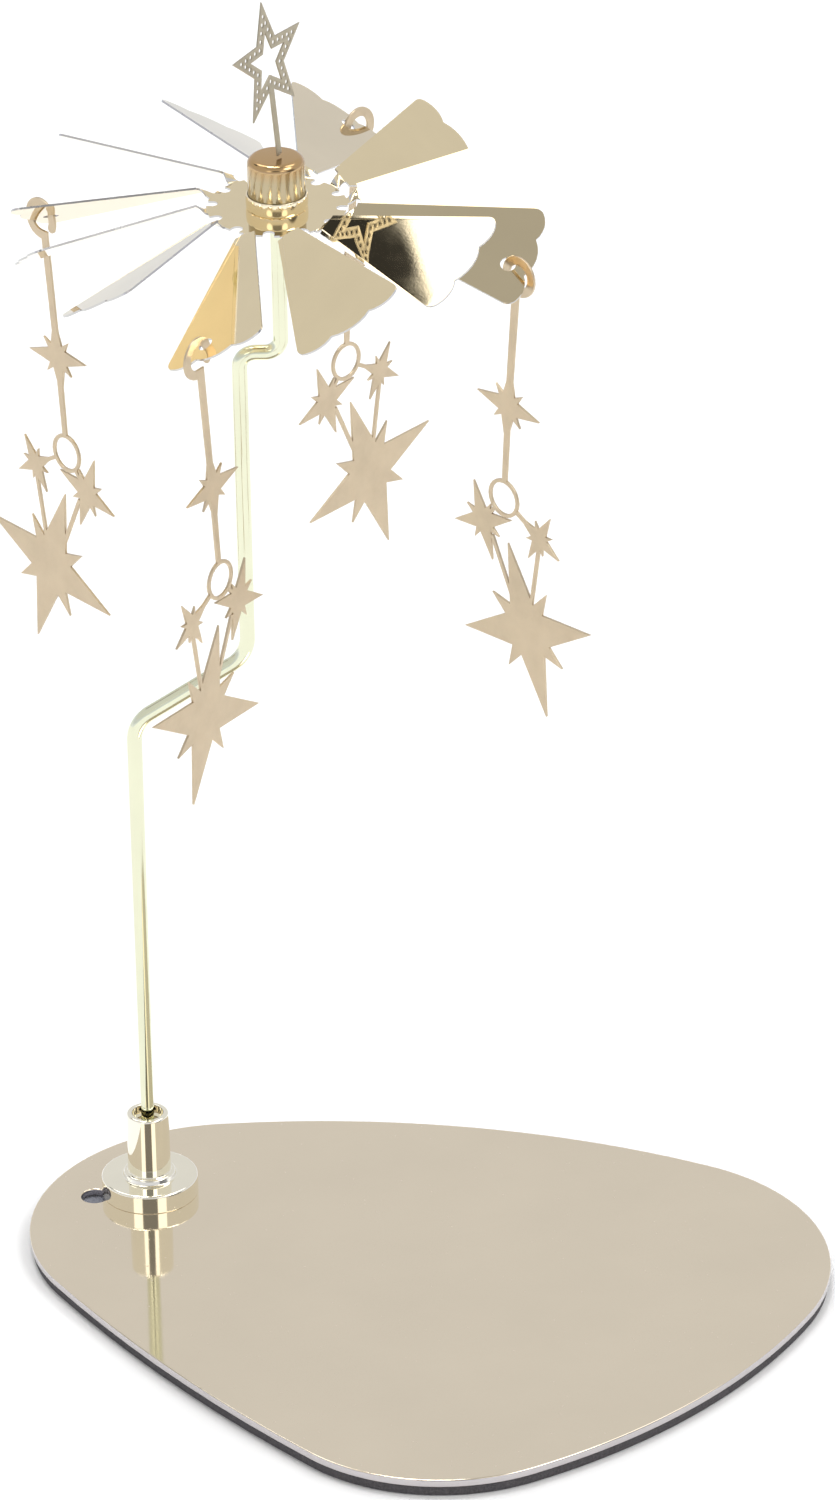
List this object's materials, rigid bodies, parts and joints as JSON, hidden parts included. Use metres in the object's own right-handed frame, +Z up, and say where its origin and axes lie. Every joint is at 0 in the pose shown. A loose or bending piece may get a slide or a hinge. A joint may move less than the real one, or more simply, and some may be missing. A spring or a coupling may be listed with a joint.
{
  "type": "candle carousel",
  "caption": "Rotary candle carousel: a bent rod stands in a post on a rounded plate and carries a bladed rotor with a star finial and hanging star pendants.",
  "frame": {"origin": "on the underside of the foam pad, straight below the axis of the rotor", "axes": "+Z up along the rotor's axis, +X from the post towards the rotor's axis, +Y away from the viewer"},
  "size_m": [0.1607, 0.1701, 0.26],
  "materials": {
    "plate_metal": "polished champagne metal with a faint speckle",
    "pad_foam": "fine grained dark foam rubber",
    "bright_metal": "mirror polished pale gold",
    "rod_metal": "polished pale gold wire",
    "cap_metal": "mirror polished deep gold",
    "blade_metal": "mirror polished thin sheet",
    "etched_metal": "satin etched sheet",
    "steel": "plain steel"
  },
  "bodies": {
    "base": {"base_plate": "plate_metal", "base_pad": "pad_foam", "hub_socket": "bright_metal", "rod_bush": "cap_metal", "hub_washer": "steel", "hub_screw": "steel"},
    "rod": {"bent_rod": "rod_metal", "pivot_needle": "steel"},
    "spinner": {"rotor": "blade_metal", "rotor_cap": "cap_metal", "cap_bead": "cap_metal", "retaining_ring": "steel", "pivot_bearing": "steel", "star_finial": "etched_metal"},
    "hanger_1": {"pendant_1": "etched_metal"},
    "hanger_2": {"pendant_2": "etched_metal"},
    "hanger_3": {"pendant_3": "etched_metal"},
    "hanger_4": {"pendant_4": "etched_metal"}
  },
  "joints": [
    {"name": "rod_turn", "type": "hinge", "parent": "base", "child": "rod", "pos_m": [-0.0305, 0, 0.0194], "axis": [0, 0, 1], "continuous": true},
    {"name": "rotor_spin", "type": "hinge", "parent": "rod", "child": "spinner", "pos_m": [0, 0, 0.2184], "axis": [0, 0, 1], "continuous": true},
    {"name": "swing_1", "type": "hinge", "parent": "spinner", "child": "hanger_1", "pos_m": [0.01551, 0.04598, 0.2134], "axis": [0.7193, -0.6947, 0], "range_deg": [-10, 10]},
    {"name": "swing_2", "type": "hinge", "parent": "spinner", "child": "hanger_2", "pos_m": [0.04538, -0.01545, 0.21002], "axis": [-0.7193, -0.6947, 0], "range_deg": [-10, 10]},
    {"name": "swing_3", "type": "hinge", "parent": "spinner", "child": "hanger_3", "pos_m": [-0.01496, -0.04549, 0.20891], "axis": [-0.8192, 0.5736, 0], "range_deg": [-10, 10]},
    {"name": "swing_4", "type": "hinge", "parent": "spinner", "child": "hanger_4", "pos_m": [-0.04526, 0.01551, 0.2098], "axis": [0.7431, 0.6691, 0], "range_deg": [-10, 10]}
  ]
}
